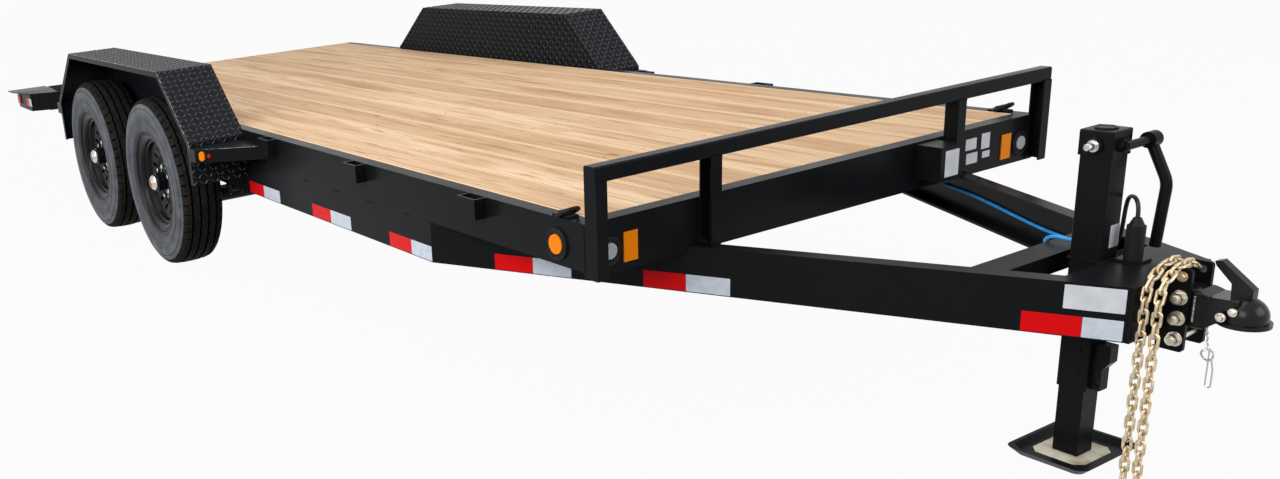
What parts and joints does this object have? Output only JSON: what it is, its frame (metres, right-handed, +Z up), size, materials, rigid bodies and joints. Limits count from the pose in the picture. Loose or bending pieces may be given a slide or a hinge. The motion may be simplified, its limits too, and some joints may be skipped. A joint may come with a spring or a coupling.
{
  "type": "car transporter trailer",
  "caption": "Low tandem-axle flatbed trailer with a plank deck, short dovetail, front rail, tread-plate fenders, square drop-leg jack and height-adjustable ball coupler.",
  "frame": {"origin": "on the ground, in the middle of the overall length and width", "axes": "+X towards the coupler, +Y to the trailer's left, +Z up"},
  "size_m": [6.73, 2.456, 0.931],
  "materials": {
    "frame_paint": "gloss black powder coat",
    "tread_plate": "satin black on tread plate",
    "deck_wood": "smooth treated pine",
    "running_gear": "satin black",
    "rim_paint": "gloss black",
    "tyre_rubber": "matte",
    "black_rubber": "matte",
    "ring_metal": "satin black",
    "clear_lens": "clear lens over a reflector",
    "amber_lens": "amber lens",
    "red_lens": "red lens",
    "zinc_bolts": "zinc plated",
    "gold_chain": "yellow zinc",
    "blue_cable": "blue loom"
  },
  "bodies": {
    "trailer_frame": {"amber_lamps": "amber_lens", "axles": "running_gear", "clear_lamps": "clear_lens", "coupler": "frame_paint", "coupler_bolts": "zinc_bolts", "coupler_bracket": "frame_paint", "coupler_latch": "frame_paint", "cross_members": "frame_paint", "deck_boards": "deck_wood", "dovetail_boards": "deck_wood", "equalizers": "running_gear", "equipment_box": "frame_paint", "fender_braces": "frame_paint", "fender_left": "tread_plate", "fender_right": "tread_plate", "front_header": "frame_paint", "front_rail": "frame_paint", "jack_crank": "frame_paint", "jack_head": "frame_paint", "jack_mount": "frame_paint", "jack_tube": "frame_paint", "lamp_grommets": "black_rubber", "leaf_springs": "running_gear", "plug_holder": "frame_paint", "red_lamps": "red_lens", "safety_chains": "gold_chain", "side_rail_left": "frame_paint", "side_rail_right": "frame_paint", "spring_hangers": "running_gear", "stake_pockets": "frame_paint", "tail_channel": "frame_paint", "tail_lamp_boxes": "frame_paint", "tie_down_rings": "ring_metal", "tie_down_straps": "frame_paint", "tongue_beam_left": "frame_paint", "tongue_beam_right": "frame_paint", "trailer_plug": "black_rubber", "wiring_harness": "blue_cable"},
    "box_lid": {"equipment_box_lid": "frame_paint"},
    "jack_stand": {"jack_leg": "frame_paint", "jack_foot": "frame_paint"},
    "front_left_wheel": {"wheel_front_left": "rim_paint", "tyre_front_left": "tyre_rubber"},
    "front_right_wheel": {"wheel_front_right": "rim_paint", "tyre_front_right": "tyre_rubber"},
    "rear_left_wheel": {"wheel_rear_left": "rim_paint", "tyre_rear_left": "tyre_rubber"},
    "rear_right_wheel": {"wheel_rear_right": "rim_paint", "tyre_rear_right": "tyre_rubber"}
  },
  "joints": [
    {"name": "front_left_wheel_spin", "type": "hinge", "parent": "trailer_frame", "child": "front_left_wheel", "pos_m": [-0.67, 1.111, 0.392], "axis": [0, 1, 0], "continuous": true},
    {"name": "front_right_wheel_spin", "type": "hinge", "parent": "trailer_frame", "child": "front_right_wheel", "pos_m": [-0.67, -1.111, 0.392], "axis": [0, 1, 0], "continuous": true},
    {"name": "rear_left_wheel_spin", "type": "hinge", "parent": "trailer_frame", "child": "rear_left_wheel", "pos_m": [-1.605, 1.111, 0.392], "axis": [0, 1, 0], "continuous": true},
    {"name": "rear_right_wheel_spin", "type": "hinge", "parent": "trailer_frame", "child": "rear_right_wheel", "pos_m": [-1.605, -1.111, 0.392], "axis": [0, 1, 0], "continuous": true},
    {"name": "jack_extend", "type": "slide", "parent": "trailer_frame", "child": "jack_stand", "axis": [0, 0, 1], "range_m": [0, 0.165]},
    {"name": "box_lid_hinge", "type": "hinge", "parent": "trailer_frame", "child": "box_lid", "pos_m": [2.191, 0.404, 0.6665], "axis": [0, -1, 0], "range_deg": [0, 85]}
  ]
}
